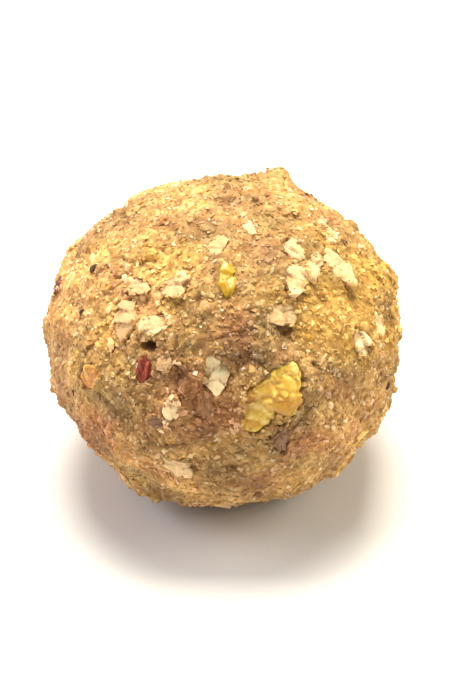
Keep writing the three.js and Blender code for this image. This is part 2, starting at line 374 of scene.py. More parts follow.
def ease(share):
    """A share from 0 to 1 that starts and ends level."""
    clipped = np.clip(share, 0, 1)
    return clipped * clipped * (3 - 2 * clipped)


def bell(away, width):
    """A share that is 1 in the middle and falls away over a width."""
    return np.exp(-((away / width) ** 2))


def noise(points):
    """Smooth noise from -1 to 1, drawn once for each corner of a unit grid."""
    corner = np.floor(points)
    along = ease(points - corner)
    total = np.zeros(len(points))
    for step in np.ndindex(2, 2, 2):
        weight = np.prod(np.where(step, along, 1 - along), axis=1)
        i, j, k = (corner + step).T
        total += weight * chance(i + GRID_ROW * j, k)
    return 2 * total - 1


def waves(points, rise, wave, shift, octaves=1):
    """Noise of a rise and a wave in millimetres, each octave on it half as long and half as high."""
    at = points / wave + shift
    return rise * sum(noise(at * 2**n + OCTAVE_SHIFT * n) / 2**n for n in range(octaves))


def bent(points, far, wave, shifts):
    """Points moved along each axis by noise of its own."""
    return points + far * np.stack([waves(points, 1, wave, shift) for shift in shifts], axis=1)


def spiral(count):
    """Ways out of the ball, spread evenly along a spiral from the crown down."""
    number = np.arange(count)
    height = 1 - (2 * number + 1) / count
    level = np.sqrt(1 - height**2)
    turn = number * math.pi * (3 - math.sqrt(5))
    return np.stack([level * np.cos(turn), level * np.sin(turn), height], axis=1)


def even_ways(count, jitter, rng):
    """Evenly spread ways out of the ball, jittered by a share of their spacing."""
    ways = spiral(count)
    ways += rng.normal(0, jitter * math.sqrt(4 * math.pi / count), ways.shape)
    return unit(ways)


class Form:
    """The pressed ball, in millimetres from its middle."""

    def __init__(self, sizes):
        foot = math.sqrt(1 - (sizes.base_flat / sizes.width) ** 2)
        half = (sizes.width / 2, sizes.depth / 2, sizes.height / (1 + foot))
        self.half = np.array(half) / MM
        self.centre = np.array([0, 0, self.half[2] * foot])

    def round_radius(self, ways):
        """The radius before any flat was pressed."""
        return 1 / np.linalg.norm(ways / self.half, axis=-1)

    def pressed_radius(self, ways):
        """The radius with the flats and lumps of pressing."""
        radius = self.round_radius(ways)
        for azimuth, elevation, inset in FLATS:
            out = facing(azimuth, elevation)
            reach = (self.round_radius(out) - inset) / np.maximum(ways @ out, STEEPEST)
            share = np.clip(0.5 + 0.5 * (reach - radius) / FLAT_BLEND, 0, 1)
            radius = reach + (radius - reach) * share - FLAT_BLEND * share * (1 - share)
        for azimuth, elevation, rise, spread in LUMPS:
            radius = radius + rise * bell(degrees_from(ways, azimuth, elevation), spread)
        return radius

    def dough_radius(self, ways):
        """The radius with the waves of kneading, as the solid has it."""
        radius = self.pressed_radius(ways)
        return radius + sum(rise * noise(ways * (radius / wave)[:, None]) for wave, rise in RELIEF)

    def on_dough(self, ways):
        """Points on the kneaded surface, from the ball's middle."""
        return ways * self.dough_radius(ways)[:, None]

    def points(self, ways, radius):
        """Points of the part's own frame, at a radius each way."""
        return ways * radius[:, None] + self.centre


def patches_at(points):
    """The dough's hue and light at points from the ball's middle: above plain they are rosy and bright. One
    dull patch is painted shade.
    """
    ways = unit(points)
    hue = PLAIN + waves(points, rise=0.36, wave=5.0, shift=71, octaves=3)
    light = PLAIN + waves(points, rise=0.4, wave=3.2, shift=133, octaves=3)
    light += waves(points, rise=0.42, wave=6.5, shift=19)
    for azimuth, elevation, spread, rosy, bright in PATCHES:
        share = PLAIN * bell(degrees_from(ways, azimuth, elevation), spread)
        hue += rosy * share
        light += bright * share
    return np.clip(hue, 0, 1), np.clip(light, 0, 1)


class Bit:
    """One bit pressed into the dough, with its own axes: along, across and out."""

    def __init__(self, form, number, kind, azimuth, elevation, length, turn, tone):
        shape = KINDS[kind]
        self.number = number
        self.shown = number < len(SHOWN_BITS)
        self.kind = kind
        self.tone = tone
        self.ragged = shape["ragged"]
        self.proud = shape["proud"]
        self.size = length * np.array([1, shape["width"], shape["thick"]])
        self.way = facing(azimuth, elevation)
        right = facing(azimuth + 90, 0)
        up = np.cross(self.way, right)
        spin = math.radians(turn)
        along = right * math.cos(spin) + up * math.sin(spin)
        self.axes = np.stack([along, np.cross(self.way, along), self.way])
        spots = np.array([(0, 0), (1, 0), (-1, 0), (0, 1), (0, -1)]) * self.size[:2] / 2
        under = self.way * form.round_radius(self.way) + spots @ self.axes[:2]
        surface = form.dough_radius(unit(under))
        self.middle = self.way * (max(surface[0], surface.mean()) + self.proud - self.size[2] / 2)

    def placed(self, local):
        """Points of the ball's frame from points along the bit's own axes."""
        return local @ self.axes + self.middle

    def pressed(self, local, form):
        """The same points, moved with the rise and fall of the dough that the palm pressed them into."""
        points = self.placed(local)
        ways = unit(points)
        level = self.middle @ self.way + self.size[2] / 2 - self.proud
        rise = form.dough_radius(ways) - level / np.maximum(ways @ self.way, STEEPEST)
        return points + ways * (CHIP_FOLLOW[self.kind] * rise)[:, None]

    def corners(self):
        """The jittered corners of the block that the bit is chipped from."""
        block = block_corners()
        key = np.round(block @ CORNER_KEY)
        return block * self.size * (1 + self.ragged * shake(self.number + key))

    def lowest(self, form):
        """The height of its lowest corner above the surface that the ball rests on."""
        return (self.placed(self.corners()) + form.centre)[:, 2].min()


def block_corners():
    """The eight corners of a unit block round its middle."""
    return np.array(list(np.ndindex(2, 2, 2))) - 0.5


def gum_lobes(form):
    """The smaller lobes of the large gum crystal, numbered after every other bit."""
    first = len(SHOWN_BITS) + SPREAD_PLACES
    return [Bit(form, first + n, "gum", *lobe) for n, lobe in enumerate(GUM_LOBES)]


def spread_bits(form):
    """Every bit: those that show in front, then the same mix over the rest of the ball."""
    bits = [Bit(form, number, *shown) for number, shown in enumerate(SHOWN_BITS)]
    side = facing(*SHOWN_SIDE)
    kinds = [kind for kind, _ in MIX]
    upto = np.cumsum([share for _, share in MIX])
    for n, way in enumerate(spiral(SPREAD_PLACES)):
        way = way + SPREAD_JITTER * shake(n)
        way /= np.linalg.norm(way)
        drawn = int(np.searchsorted(upto, chance(n, DRAW_KIND), side="right"))
        kind = "crumb" if way @ side > SHOWN_EDGE else kinds[min(drawn, len(kinds) - 1)]
        least, most = KINDS[kind]["least"], KINDS[kind]["most"]
        length = least + (most - least) * chance(n, DRAW_LENGTH) ** 2
        azimuth = math.degrees(math.atan2(way[0], -way[1]))
        elevation = math.degrees(math.asin(way[2]))
        turn, tone = 360 * chance(n, DRAW_TURN), chance(n, DRAW_TONE)
        bit = Bit(form, len(bits), kind, azimuth, elevation, length, turn, tone)
        if kind == "pistachio" and way @ side > GREEN_EDGE:
            bit.kind = "nut"
        reach = form.round_radius(way)
        apart = [reach * math.acos(min(1, way @ other.way)) for other in bits]
        room = [(bit.size[0] + other.size[0]) / 2 + SPREAD_GAP for other in bits]
        if all(a > r for a, r in zip(apart, room)):
            bits.append(bit)
    return [bit for bit in bits if bit.lowest(form) > FOOT_CLEAR]


def bits_of(form, *kinds):
    """Every bit of these kinds."""
    return [bit for bit in spread_bits(form) if bit.kind in kinds]


def cells(points, seeds):
    """For each point, its distance to the nearest and second nearest seed, and the nearest one's number."""
    tree = KDTree(len(seeds))
    for number, seed in enumerate(seeds):
        tree.insert(seed, number)
    tree.balance()
    found = [tree.find_n(point, 2) for point in points]
    near = np.array([pair[0][2] for pair in found])
    next_near = np.array([pair[1][2] for pair in found])
    return near, next_near, np.array([pair[0][1] for pair in found])


def cube_ball(cuts):
    """A ball of quads, each side of a cube cut into a grid: its ways out and its faces."""
    digits = 6  # that tell one point from the next
    steps = np.tan(np.linspace(-math.pi / 4, math.pi / 4, cuts + 1))
    across, up = np.meshgrid(steps, steps, indexing="ij")
    first = np.arange(cuts)[:, None] * (cuts + 1) + np.arange(cuts)
    quad = np.stack([first, first + cuts + 1, first + cuts + 2, first + 1], axis=-1).reshape(-1, 4)
    ways, faces = [], []
    for axis in range(3):
        for side in (1, -1):
            grid = np.empty((*across.shape, 3))
            grid[..., axis] = side
            grid[..., (axis + 1) % 3] = side * across
            grid[..., (axis + 2) % 3] = up
            faces.append(quad + len(ways) * across.size)
            ways.append(grid.reshape(-1, 3))
    ways = unit(np.concatenate(ways))
    _, kept, shared = np.unique(np.round(ways, digits), axis=0, return_index=True, return_inverse=True)
    return ways[kept], shared.reshape(-1)[np.concatenate(faces)]


def map_of(points, faces, middle):
    """A place on the bake map for each face's corners: a cube's six sides, three across and two up."""
    margin = 0.97
    corner = (points - middle)[faces]
    mid = corner.mean(axis=1)
    axis = np.abs(mid).argmax(axis=1)
    side = np.take_along_axis(mid, axis[:, None], axis=1)[:, 0] > 0
    pick = np.arange(len(faces))
    depth = np.abs(corner[pick, :, axis])
    turns = [np.arctan2(corner[pick, :, (axis + step) % 3], depth) for step in (1, 2)]
    place = np.clip(np.stack(turns, axis=-1) / (math.pi / 4), -1, 1)
    cell = np.stack([axis, side], axis=-1)[:, None]
    return (cell + 0.5 + 0.5 * margin * place) / (3, 2)


def new_piece(name, made, material, form, smooth=True):
    """A mesh piece that rides on the body, from points in millimetres, faces and values at each point."""
    points, faces, values = made
    mesh = bpy.data.meshes.new(name)
    mesh.vertices.add(len(points))
    mesh.vertices.foreach_set("co", (points * MM).astype(np.float32).ravel())
    mesh.loops.add(faces.size)
    mesh.loops.foreach_set("vertex_index", faces.astype(np.int32).ravel())
    mesh.polygons.add(len(faces))
    mesh.polygons.foreach_set("loop_start", np.arange(0, faces.size, faces.shape[1], dtype=np.int32))
    mesh.update(calc_edges=True)
    mesh.polygons.foreach_set("use_smooth", np.full(len(faces), smooth))
    for key, value in values.items():
        layer = mesh.attributes.new(key, "FLOAT", "POINT")
        layer.data.foreach_set("value", value.astype(np.float32))
    places = mesh.uv_layers.new(name=BAKE_MAP)
    places.uv.foreach_set("vector", map_of(points, faces, form.centre).astype(np.float32).ravel())
    mesh.materials.append(material)
    mesh.validate()
    piece = bpy.data.objects.new(name, mesh)
    bpy.context.scene.collection.objects.link(piece)
    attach(piece, BODY)
    return piece


def joined(meshes):
    """One set of points, triangles and values from several."""
    start = np.cumsum([0] + [len(points) for points, _, _ in meshes])
    points = np.concatenate([points for points, _, _ in meshes])
    faces = np.concatenate([faces + first for (_, faces, _), first in zip(meshes, start)])
    keys = meshes[0][2]
    return points, faces, {key: np.concatenate([values[key] for _, _, values in meshes]) for key in keys}


def arrays_of(bm):
    """A bmesh's points and triangles. The bmesh is freed."""
    bmesh.ops.triangulate(bm, faces=bm.faces)
    bm.verts.index_update()
    points = np.array([vert.co for vert in bm.verts])
    faces = np.array([[vert.index for vert in face.verts] for face in bm.faces])
    bm.free()
    return points, faces


def normals_of(points, faces):
    """A unit normal at each point of a triangle mesh."""
    least = 1e-12  # below it a normal has no direction
    a, b, c = (points[faces[:, k]] for k in range(3))
    turn = np.cross(b - a, c - a)
    total = np.zeros_like(points)
    for k in range(3):
        np.add.at(total, faces[:, k], turn)
    return total / np.maximum(np.linalg.norm(total, axis=1, keepdims=True), least)


def ball_mesh(rounds):
    """A unit ball of triangles: its points and faces."""
    bm = bmesh.new()
    bmesh.ops.create_icosphere(bm, subdivisions=rounds, radius=1)
    return arrays_of(bm)


def hull_of(points):
    """The hull of some points, as a bmesh without the points inside it."""
    bm = bmesh.new()
    for point in points:
        bm.verts.new(point)
    bmesh.ops.convex_hull(bm, input=bm.verts)
    inside = [vert for vert in bm.verts if not vert.link_faces]
    bmesh.ops.delete(bm, geom=inside, context="VERTS")
    return bm


def chip_block(bit, rng):
    """A broken slab of the bit's size, as a bmesh: an uneven outline and slanting sides."""
    corners, swing, boxiness = 9, 0.45, 3.5
    reach, waist, tilt = (0.78, 1.08), (0.86, 1), 0.05
    turn = (np.arange(corners) + rng.uniform(-swing, swing, corners)) * 2 * math.pi / corners
    outline = np.stack([np.cos(turn), np.sin(turn)], axis=1)
    boxy = np.linalg.norm(outline, ord=boxiness, axis=1) / rng.uniform(*reach, corners)
    spread = np.array(SLIVER_SPREAD if bit.kind == "sliver" else (WIDER, WIDER))
    outline = outline / boxy[:, None] * bit.size[:2] * spread / 2
    top = (rng.uniform(0.42, 0.5), 1.0)  # a ring's level, and its share of the outline
    side = (rng.uniform(0.05, 0.25), 1.08)
    foot = (-0.5, 0.7)
    rings = []
    for level, share in (top, side, foot):
        height = bit.size[2] * (level + rng.uniform(-tilt, tilt, corners))
        rings.append(np.column_stack([outline * share * rng.uniform(*waist, (corners, 1)), height]))
    return hull_of(np.concatenate(rings))


def chip_mesh(bit, rng, edge):
    """A broken slab with worn edges, finely cut where it shows."""
    flattest, worn, welded, rounds = math.radians(12), 0.035, 0.1, 4
    bm = chip_block(bit, rng)
    bmesh.ops.dissolve_limit(bm, angle_limit=flattest, verts=bm.verts, edges=bm.edges)
    bmesh.ops.bevel(
        bm,
        geom=bm.edges[:],
        offset=worn * bit.size[0],
        segments=2,
        profile=0.6,
        affect="EDGES",
        clamp_overlap=True,
    )
    bmesh.ops.remove_doubles(bm, verts=bm.verts, dist=welded * edge)
    bmesh.ops.triangulate(bm, faces=bm.faces)
    seen = bit.size[2] / 2 - bit.proud - CHIP_SEEN
    for _ in range(rounds):
        long_edges = []
        for line in bm.edges:
            top = max(vert.co.z for vert in line.verts)
            if line.calc_length() > edge * (1 if top > seen else CHIP_COARSE):
                long_edges.append(line)
        if not long_edges:
            break
        bmesh.ops.subdivide_edges(bm, edges=long_edges, cuts=1)
        bmesh.ops.triangulate(bm, faces=bm.faces)
    return arrays_of(bm)


def cracked(points, size, step, rng):
    """How far each point of a chip moves out, where it broke into a few pieces that tilt and step."""
    fewest, per_mm, lean, width, depth = 4, 1.5, 0.16, 0.12, 0.1
    pieces = fewest + int(per_mm * size[0])
    seeds = rng.uniform(-0.5, 0.5, (pieces, 3)) * size
    apart = np.linalg.norm(points[:, None] - seeds, axis=2)
    nearest = apart.argmin(axis=1)
    first, second = np.partition(apart, 1, axis=1)[:, :2].T
    tilt = rng.normal(0, lean, (pieces, 3))[nearest] * (points - seeds[nearest])
    crack = bell(second - first, width)
    return rng.normal(0, step, pieces)[nearest] + tilt.sum(axis=1) - depth * crack


def add(tree, kind, inputs=None, **settings):
    """A new node with its settings, each input set to a value or linked from a socket."""
    made = tree.nodes.new(kind)
    for name, value in settings.items():
        setattr(made, name, value)
    for key, value in (inputs or {}).items():
        if isinstance(value, bpy.types.NodeSocket):
            tree.links.new(value, made.inputs[key])
        else:
            made.inputs[key].default_value = (*value, 1.0) if isinstance(value, Color) else value
    return made


def maths(tree, operation, *values):
    return add(tree, "ShaderNodeMath", dict(enumerate(values)), operation=operation).outputs[0]


def centred(tree, value, share):
    """A value's distance from a half, times a share."""
    return maths(tree, "MULTIPLY", maths(tree, "SUBTRACT", value, 0.5), share)


def blend(tree, share, first, second, kind="MIX"):
    """A mix of two colours."""
    inputs = {0: share, 6: first, 7: second}
    return add(tree, "ShaderNodeMix", inputs, data_type="RGBA", blend_type=kind).outputs[2]


def times(tree, first, second):
    """Two colours multiplied."""
    return blend(tree, 1.0, first, second, "MULTIPLY")


def stretch(tree, value, low, high, to_low=0.0, to_high=1.0):
    """A value stretched from one range to another, and held there."""
    inputs = {"Value": value, "From Min": low, "From Max": high, "To Min": to_low, "To Max": to_high}
    return add(tree, "ShaderNodeMapRange", inputs).outputs[0]


def attribute(tree, name):
    return add(tree, "ShaderNodeAttribute", attribute_name=name).outputs["Fac"]


def millimetres(tree):
    """The place on the part, in millimetres."""
    place = add(tree, "ShaderNodeTexCoord").outputs["Object"]
    return add(tree, "ShaderNodeVectorMath", {0: place, "Scale": 1 / MM}, operation="SCALE").outputs[0]


def noise_node(tree, place, wave, detail=2.0, roughness=0.5):
    inputs = {"Vector": place, "Scale": 1 / wave, "Detail": detail, "Roughness": roughness}
    return add(tree, "ShaderNodeTexNoise", inputs).outputs[0]


def mottle(tree, given, out):
    """A colour made rosy or golden, bright or dull, by the patches of the dough, one of which is painted
    shade.
    """
    hue = attribute(tree, "hue")
    rosy = blend(tree, stretch(tree, hue, 0.5, 1.0), WHITE, given["Rosy"])
    golden = blend(tree, stretch(tree, hue, 0.5, 0.0), WHITE, given["Golden"])
    warmed = times(tree, times(tree, given["Color"], rosy), golden)
    light = stretch(tree, attribute(tree, "light"), 0.0, 1.0, to_low=0.6, to_high=1.3)
    tree.links.new(times(tree, warmed, light), out["Color"])


def fine_grain(tree, given, out):
    """A tone that differs from granule to granule, and the height of the finest roughness."""
    place = millimetres(tree)
    scale = maths(tree, "DIVIDE", 1.0, given["Size"])
    grains = add(tree, "ShaderNodeTexVoronoi", {"Vector": place, "Scale": scale}, feature="F1")
    drawn = add(tree, "ShaderNodeSeparateColor", {0: grains.outputs["Color"]}).outputs[0]
    blotch = noise_node(tree, place, wave=0.9, detail=3.0, roughness=0.6)
    speck = centred(tree, drawn, given["Speckle"])
    tree.links.new(maths(tree, "ADD", speck, blotch), out["Tone"])
    fine = noise_node(tree, place, wave=0.16, detail=3.0, roughness=0.65)
    dome = maths(tree, "MULTIPLY", grains.outputs["Distance"], -0.7)
    tree.links.new(maths(tree, "ADD", fine, dome), out["Height"])


def dough_smear(tree, given, out):
    """Where dough clings to a bit, low down and in patches, and its colour there."""
    place = millimetres(tree)
    patches = noise_node(tree, place, wave=0.8, detail=4.0, roughness=0.65)
    low = maths(tree, "MULTIPLY", attribute(tree, "low"), 0.7)
    cling = maths(tree, "ADD", maths(tree, "ADD", low, patches), given["Reach"])
    mask = stretch(tree, cling, 0.95, 1.15)
    dust = maths(tree, "MULTIPLY", noise_node(tree, place, wave=0.35), 0.8)
    dusted = blend(tree, dust, given["Dough"], given["Base"])
    tree.links.new(blend(tree, mask, given["Base"], dusted), out["Color"])
    tree.links.new(mask, out["Mask"])


# Shader node groups: what builds each, its inputs with their defaults, and its outputs
GROUPS = {
    "Mottle": (
        mottle,
        {"Color": (0.5, 0.28, 0.1, 1), "Rosy": (0.76, 0.58, 0.64, 1), "Golden": (1.0, 0.95, 0.58, 1)},
        {"Color": "NodeSocketColor"},
    ),
    "Fine grain": (
        fine_grain,
        {"Size": 0.5, "Speckle": 0.5},
        {"Tone": "NodeSocketFloat", "Height": "NodeSocketFloat"},
    ),
    "Dough smear": (
        dough_smear,
        {"Base": (0.8, 0.8, 0.8, 1), "Dough": (0.5, 0.28, 0.1, 1), "Reach": 0.4},
        {"Color": "NodeSocketColor", "Mask": "NodeSocketFloat"},
    ),
}


def place_group(tree, name, **inputs):
    """The outputs of a node group placed in a material. The group itself is built once."""
    if name not in bpy.data.node_groups:
        build, takes, gives = GROUPS[name]
        group = bpy.data.node_groups.new(name, "ShaderNodeTree")
        for socket, default in takes.items():
            kind = "NodeSocketFloat" if isinstance(default, float) else "NodeSocketColor"
            made = group.interface.new_socket(socket, in_out="INPUT", socket_type=kind)
            made.default_value = default
        for socket, kind in gives.items():
            group.interface.new_socket(socket, in_out="OUTPUT", socket_type=kind)
        build(group, group.nodes.new("NodeGroupInput").outputs, group.nodes.new("NodeGroupOutput").inputs)
    return add(tree, "ShaderNodeGroup", inputs, node_tree=bpy.data.node_groups[name]).outputs


def new_material(name, **constants):
    """A new material with one Principled shader: its tree and that shader."""
    material = bpy.data.materials.new(name)
    material.use_nodes = True
    tree = material.node_tree
    shader = next(n for n in tree.nodes if n.type == "BSDF_PRINCIPLED")
    for key, value in constants.items():
        shader.inputs[key.replace("_", " ")].default_value = value
    return material, tree, shader


def feed(tree, shader, colour, roughness, height=None, strength=0.5, distance=0.05):
    """Links what changes over the surface to a shader, its height through a bump in millimetres."""
    tree.links.new(colour, shader.inputs["Base Color"])
    tree.links.new(roughness, shader.inputs["Roughness"])
    if height is not None:
        inputs = {"Height": height, "Strength": strength, "Distance": distance * MM}
        bump = add(tree, "ShaderNodeBump", inputs)
        tree.links.new(bump.outputs[0], shader.inputs["Normal"])


def dough_material(colours):
    material, tree, shader = new_material(
        "dough",
        Subsurface_Weight=0.25,
        Subsurface_Scale=0.7 * MM,
        Subsurface_Radius=(1.0, 0.6, 0.3),
        Specular_IOR_Level=0.35,
    )
    grain = place_group(tree, "Fine grain", Size=0.5, Speckle=0.42)
    tone = maths(tree, "ADD", grain["Tone"], centred(tree, attribute(tree, "tint"), 0.6))
    light = stretch(tree, tone, 0.45, 0.95)
    dark = maths(tree, "MULTIPLY", stretch(tree, tone, 0.5, 0.12), 0.4)
    paler = blend(tree, light, colours.dough, colours.dough_light)
    darker = blend(tree, dark, paler, colours.dough_dark_and_gap_shade)
    mottled = place_group(tree, "Mottle", Color=darker)
    # Painted shade: the seams, clefts, pits and rims of bits turn to the darkest dough colour
    colour = blend(tree, attribute(tree, "gap_shade"), mottled["Color"], colours.dough_dark_and_gap_shade)
    worn = noise_node(tree, millimetres(tree), wave=1.7, detail=3.0)
    rough = stretch(tree, worn, 0.3, 0.7, to_low=0.58, to_high=0.86)
    feed(tree, shader, colour, rough, grain["Height"], strength=0.45, distance=0.09)
    return material


def grain_material(name, grain, colours):
    """Loose grains, each of its own tone, dusted with dough."""
    radius = (1.0, 0.65, 0.35)
    material, tree, shader = new_material(
        name, Specular_IOR_Level=0.4, Subsurface_Radius=radius, **grain.finish
    )
    fine = place_group(tree, "Fine grain", Size=0.3, Speckle=0.3)
    tone = maths(tree, "ADD", attribute(tree, "tint"), centred(tree, fine["Tone"], grain.speckle))
    dark, light = getattr(colours, grain.dark), getattr(colours, grain.light)
    plain = blend(tree, stretch(tree, tone, 0.0, 1.0), dark, light)
    smear = place_group(tree, "Dough smear", Base=plain, Dough=colours.dough, Reach=0.05)
    mottled = place_group(tree, "Mottle", Color=smear["Color"])
    rough = stretch(tree, fine["Tone"], 0.2, 0.8, to_low=0.5, to_high=0.78)
    feed(tree, shader, mottled["Color"], rough, fine["Height"], strength=0.4, distance=0.05)
    return material


def nut_material(colours):
    material, tree, shader = new_material(
        "nut",
        Subsurface_Weight=0.25,
        Subsurface_Scale=0.9 * MM,
        Subsurface_Radius=(1.0, 0.75, 0.45),
        Specular_IOR_Level=0.45,
    )
    place = millimetres(tree)
    grain = place_group(tree, "Fine grain", Size=0.35, Speckle=0.22)
    drift = centred(tree, grain["Tone"], 1.3)
    cloud = noise_node(tree, place, wave=1.6, detail=3.0, roughness=0.6)
    blotch = maths(tree, "SUBTRACT", cloud, 0.5)
    tone = maths(tree, "ADD", maths(tree, "ADD", attribute(tree, "tone"), drift), blotch)
    flesh = blend(tree, stretch(tree, tone, 0.0, 1.0), colours.nut_dark, colours.nut_light)
    pale = blend(tree, stretch(tree, tone, 0.95, 1.5), flesh, colours.nut_pale)
    ragged = maths(tree, "ADD", attribute(tree, "skin"), noise_node(tree, place, wave=0.7, detail=3.0))
    nut = blend(tree, stretch(tree, ragged, 1.1, 1.25), pale, colours.nut_skin)
    smear = place_group(tree, "Dough smear", Base=nut, Dough=colours.dough, Reach=0.04)
    rough = stretch(tree, grain["Tone"], 0.2, 0.8, to_low=0.42, to_high=0.7)
    feed(tree, shader, smear["Color"], rough, grain["Height"], strength=0.7, distance=0.12)
    return material


def gum_material(colours):
    material, tree, shader = new_material(
        "gum",
        Subsurface_Weight=0.5,
        Subsurface_Scale=1.1 * MM,
        Subsurface_Radius=(1.0, 0.62, 0.2),
        IOR=1.48,
    )
    cloud = noise_node(tree, millimetres(tree), wave=1.7, detail=4.0, roughness=0.6)
    tone = maths(tree, "ADD", attribute(tree, "tone"), centred(tree, cloud, 1.4))
    amber = blend(tree, stretch(tree, tone, 0.0, 1.0), colours.gum_dark, colours.gum_light)
    puffed = blend(tree, stretch(tree, tone, 0.95, 1.7), amber, colours.gum_pale)
    clear = blend(tree, attribute(tree, "skin"), puffed, colours.gum_lemon)
    smear = place_group(tree, "Dough smear", Base=clear, Dough=colours.dough_light, Reach=0.0)
    rough = stretch(tree, smear["Mask"], 0.0, 1.0, to_low=0.26, to_high=0.7)
    grain = place_group(tree, "Fine grain", Size=0.6, Speckle=0.2)
    feed(tree, shader, smear["Color"], rough, grain["Height"], strength=0.3, distance=0.07)
    return material


def skin_material(name, flesh, skin, dough, gloss, reach, **constants):
    """Fruit or pistachio: flesh with a skin of another colour on its outer side."""
    material, tree, shader = new_material(name, **constants)
    grain = place_group(tree, "Fine grain", Size=0.5, Speckle=0.3)
    cloud = noise_node(tree, millimetres(tree), wave=0.9, detail=3.0, roughness=0.6)
    patches = maths(tree, "ADD", attribute(tree, "skin"), cloud)
    mottled = blend(tree, stretch(tree, patches, 0.95, 1.2), flesh, skin)
    light = stretch(tree, grain["Tone"], 0.3, 0.9, to_low=0.75, to_high=1.45)
    smear = place_group(tree, "Dough smear", Base=times(tree, mottled, light), Dough=dough, Reach=reach)
    rough = stretch(tree, smear["Mask"], 0.0, 1.0, to_low=gloss, to_high=0.75)
    feed(tree, shader, smear["Color"], rough, grain["Height"], strength=0.4, distance=0.08)
    return material


def seed_material(colours):
    material, tree, shader = new_material("seed", Specular_IOR_Level=0.25)
    grain = place_group(tree, "Fine grain", Size=0.22, Speckle=0.6)
    light = stretch(tree, grain["Tone"], 0.3, 0.9, to_low=0.6, to_high=2.2)
    rough = stretch(tree, grain["Tone"], 0.2, 0.8, to_low=0.55, to_high=0.75)
    colour = times(tree, colours.seed, light)
    feed(tree, shader, colour, rough, grain["Height"], strength=0.5, distance=0.05)
    return material


def floor_material(colours):
    material, tree, shader = new_material("floor", Specular_IOR_Level=0.2)
    place = millimetres(tree)
    cloud = stretch(tree, noise_node(tree, place, wave=60.0), 0.3, 0.7, to_low=0.985, to_high=1.0)
    rough = stretch(tree, noise_node(tree, place, wave=25.0), 0.3, 0.7, to_low=0.75, to_high=0.85)
    feed(tree, shader, times(tree, colours.floor, cloud), rough)
    return material


def seats_of(bits, ways, points):
    """How far out of the nearest bit points lie, 1 at its rim, how far it rises, and how uneven it is."""
    least = np.full(len(points), FAR_OFF)
    proud = np.zeros(len(points))
    uneven = np.zeros(len(points))
    for bit in bits:
        local = (points - bit.middle) @ bit.axes.T
        across = np.linalg.norm(local[:, :2] / (bit.size[:2] / 2), axis=1) / WINDOW.get(bit.kind, 1)
        nearer = (ways @ bit.way > 0) & (across < least)
        least[nearer] = across[nearer]
        proud[nearer] = bit.proud * RIM.get(bit.kind, 1)
        uneven[nearer] = RAGGED.get(bit.kind, 0)
    return least, proud, uneven


def clump_relief(form, spacing, area, points, torn, rng):
    """How far clumps of the dough stand off its form, and the clefts between them from 0 to 1."""
    jitter, height, edge, least = 0.35, 0.1, 0.5, 0.4
    cleft_width, cleft_depth = 0.38, 0.32
    ways = even_ways(int(area / spacing**2), jitter, rng)
    near, after, number = cells(points, form.on_dough(ways))
    step = rng.normal(0, height, len(ways))[number]
    patchy = ease(0.5 + waves(points, rise=1, wave=3.1, shift=11))
    cleft = bell(after - near, cleft_width) * torn * patchy
    relief = step * ease((after - near) / edge) * (least + torn) - cleft_depth * cleft
    return relief + waves(points, rise=0.11, wave=1.9, shift=23, octaves=3), cleft


def granule_relief(form, spacing, area, points, torn, rng):
    """How far granules stand off the clumps, the seams between them from 0 to 1, and each one's tint."""
    jitter, lowest, highest, fewer_high, slope = 0.45, 0.02, 0.12, 1.8, 0.3
    edge, pressed, loose, seam_width, seam_depth = 0.24, 0.55, 0.6, 0.1, 0.05
    granules = form.on_dough(even_ways(int(area / spacing**2), jitter, rng))
    moved = bent(points, far=0.13, wave=0.5, shifts=(3, 57, 91))
    near, after, number = cells(moved, granules)
    rise = lowest + highest * rng.random(len(granules)) ** fewer_high
    lean = rng.normal(0, slope, granules.shape)
    tilt = ((moved - granules[number]) * lean[number]).sum(axis=1)
    broken = (rise[number] + tilt) * ease((after - near) / edge)
    seam = bell(after - near, seam_width)
    tint = rng.random(len(granules))[number]
    return broken * (pressed + loose * torn) - seam_depth * seam, seam, tint


def spread_pits(rng):
    """Small pits where a grain fell out, spread over the whole ball."""
    ways = even_ways(PITS, PIT_JITTER, rng)
    azimuth = np.degrees(np.arctan2(ways[:, 0], -ways[:, 1]))
    elevation = np.degrees(np.arcsin(ways[:, 2]))
    return list(zip(azimuth, elevation, rng.uniform(*PIT_RADII, PITS), rng.uniform(*PIT_DEPTHS, PITS)))


